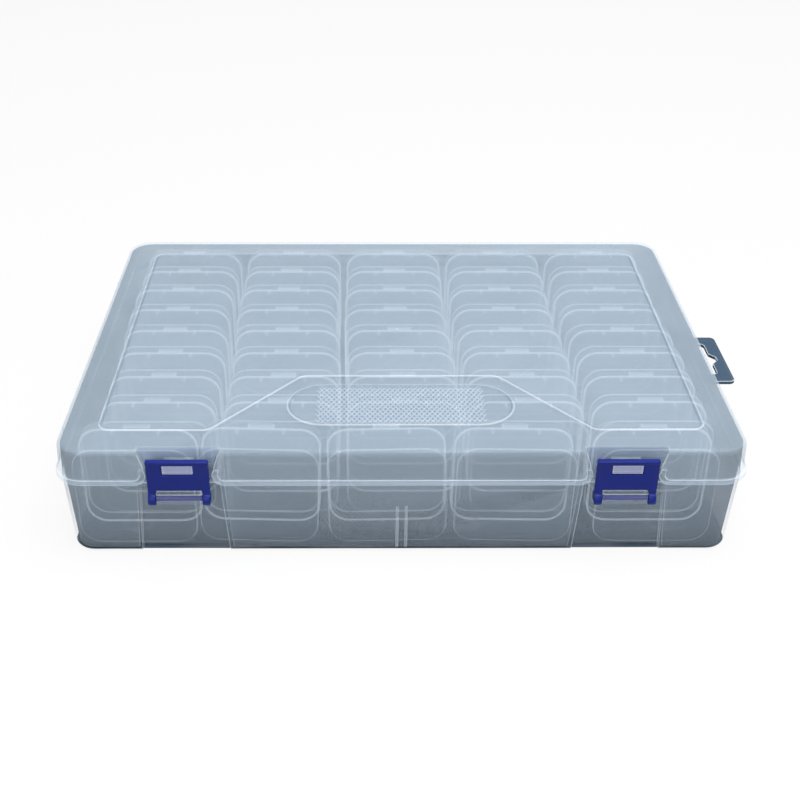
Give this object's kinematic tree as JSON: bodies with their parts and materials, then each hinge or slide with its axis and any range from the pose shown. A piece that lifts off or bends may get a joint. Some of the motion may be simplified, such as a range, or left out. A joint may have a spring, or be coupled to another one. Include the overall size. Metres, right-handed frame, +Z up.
{
  "type": "embroidery thread box",
  "caption": "Clear hinged storage case with two blue snap latches and a hang tab, filled with small flip-top thread boxes standing on edge in rows.",
  "frame": {"origin": "centre of the underside that the case rests on, on the middle plane of the case, without its hang tab", "axes": "+X towards the hang tab, the right-hand end seen from the latches; +Y towards the rear hinges; +Z up, from the underside to the lid"},
  "size_m": [0.3296, 0.2338, 0.0578],
  "materials": {
    "clear_case": "clear moulded polypropylene, faintly frosted and blue-grey",
    "clear_box": "clear moulded polypropylene, glossy",
    "blue_latch": "opaque royal-blue moulded plastic, satin gloss"
  },
  "bodies": {
    "case": {"case_base": "clear_case", "thread_box_r1_c1": "clear_box", "thread_box_r1_c2": "clear_box", "thread_box_r1_c3": "clear_box", "thread_box_r1_c4": "clear_box", "thread_box_r1_c5": "clear_box", "thread_box_r2_c1": "clear_box", "thread_box_r2_c2": "clear_box", "thread_box_r2_c3": "clear_box", "thread_box_r2_c4": "clear_box", "thread_box_r2_c5": "clear_box", "thread_box_r3_c1": "clear_box", "thread_box_r3_c2": "clear_box", "thread_box_r3_c3": "clear_box", "thread_box_r3_c4": "clear_box", "thread_box_r3_c5": "clear_box", "thread_box_r4_c1": "clear_box", "thread_box_r4_c2": "clear_box", "thread_box_r4_c3": "clear_box", "thread_box_r4_c4": "clear_box", "thread_box_r4_c5": "clear_box", "thread_box_r5_c1": "clear_box", "thread_box_r5_c2": "clear_box", "thread_box_r5_c3": "clear_box", "thread_box_r5_c4": "clear_box", "thread_box_r5_c5": "clear_box", "thread_box_r6_c1": "clear_box", "thread_box_r6_c2": "clear_box", "thread_box_r6_c3": "clear_box", "thread_box_r6_c4": "clear_box", "thread_box_r6_c5": "clear_box", "thread_box_r7_c1": "clear_box", "thread_box_r7_c2": "clear_box", "thread_box_r7_c3": "clear_box", "thread_box_r7_c4": "clear_box", "thread_box_r7_c5": "clear_box", "thread_box_r8_c1": "clear_box", "thread_box_r8_c2": "clear_box", "thread_box_r8_c3": "clear_box", "thread_box_r8_c4": "clear_box", "thread_box_r8_c5": "clear_box", "thread_box_r9_c1": "clear_box", "thread_box_r9_c2": "clear_box", "thread_box_r9_c3": "clear_box", "thread_box_r9_c4": "clear_box", "thread_box_r9_c5": "clear_box", "thread_box_lids_r1": "clear_box", "thread_box_lids_r2": "clear_box", "thread_box_lids_r3": "clear_box", "thread_box_lids_r4": "clear_box", "thread_box_lids_r5": "clear_box", "thread_box_lids_r6": "clear_box", "thread_box_lids_r7": "clear_box", "thread_box_lids_r8": "clear_box", "thread_box_lids_r9": "clear_box"},
    "lid": {"case_lid": "clear_case"},
    "latch_left": {"latch_left": "blue_latch"},
    "latch_right": {"latch_right": "blue_latch"}
  },
  "joints": [
    {"name": "lid_hinge", "type": "hinge", "parent": "case", "child": "lid", "pos_m": [0, 0.11515, 0.04], "axis": [-1, 0, 0], "range_deg": [0, 180]},
    {"name": "latch_left_swing", "type": "hinge", "parent": "case", "child": "latch_left", "pos_m": [-0.0995, -0.11255, 0.0339], "axis": [1, 0, 0], "range_deg": [0, 165]},
    {"name": "latch_right_swing", "type": "hinge", "parent": "case", "child": "latch_right", "pos_m": [0.0995, -0.11255, 0.0339], "axis": [1, 0, 0], "range_deg": [0, 165]}
  ]
}
